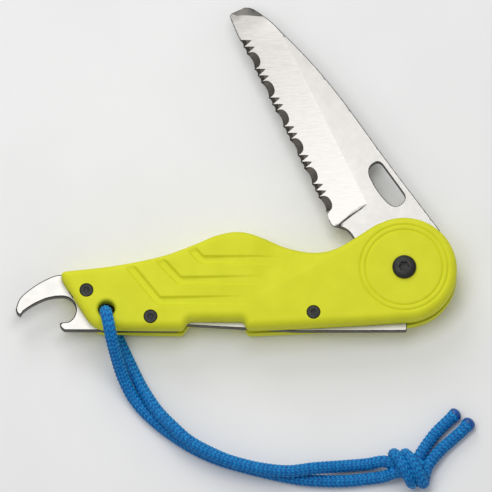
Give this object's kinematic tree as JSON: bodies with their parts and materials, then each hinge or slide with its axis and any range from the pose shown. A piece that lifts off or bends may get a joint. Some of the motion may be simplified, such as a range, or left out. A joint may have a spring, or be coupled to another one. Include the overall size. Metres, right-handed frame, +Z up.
{
  "type": "rigging knife",
  "caption": "One-hand lockback rigging knife with serrated sheepsfoot blade, moulded grip scales, steel shackle-key tail plate and knotted cord lanyard.",
  "frame": {"origin": "bottom centre of the knife's box without its lanyard, on the surface that it lies on", "axes": "+X from the tail hook towards the pivot end, +Y the way the part-open blade stands from the handle, +Z up, out of the front scale"},
  "size_m": [0.1372, 0.1477, 0.0183],
  "materials": {
    "scale_plastic": "fine matte grain",
    "blade_steel": "satin, brushed across the grind",
    "plate_steel": "tumbled",
    "liner_steel": "plain",
    "spring_steel": "plain",
    "screw_black": "black oxide, satin",
    "washer_brass": "plain",
    "lanyard_cord": "braided synthetic cord"
  },
  "bodies": {
    "handle": {"front_scale": "scale_plastic", "rear_scale": "scale_plastic", "front_liner": "liner_steel", "rear_liner": "liner_steel", "tail_plate": "plate_steel", "lock_spring": "spring_steel", "pivot_barrel": "liner_steel", "front_pivot_screw": "screw_black", "rear_pivot_screw": "screw_black", "front_pivot_washer": "washer_brass", "rear_pivot_washer": "washer_brass", "lock_pin": "liner_steel", "tail_barrels": "liner_steel", "front_body_screws": "screw_black", "rear_body_screws": "screw_black", "lanyard_front_run": "lanyard_cord", "lanyard_rear_run": "lanyard_cord", "lanyard_knot": "lanyard_cord", "lanyard_front_tail": "lanyard_cord", "lanyard_rear_tail": "lanyard_cord"},
    "blade": {"blade": "blade_steel"},
    "lock_bar": {"lock_bar": "plate_steel"}
  },
  "joints": [
    {"name": "blade_fold", "type": "hinge", "parent": "handle", "child": "blade", "pos_m": [0.0502, -0.0315, 0.0075], "axis": [0, 0, -1], "range_deg": [-59.2, 120.8]},
    {"name": "lock_bar_rock", "type": "hinge", "parent": "handle", "child": "lock_bar", "pos_m": [0.023, -0.0453, 0.0075], "axis": [0, 0, -1], "range_deg": [0, 1.2], "stiffness_Nm_per_rad": 0.5, "springref_deg": -2.86, "deforming": ["lock_spring"]}
  ]
}
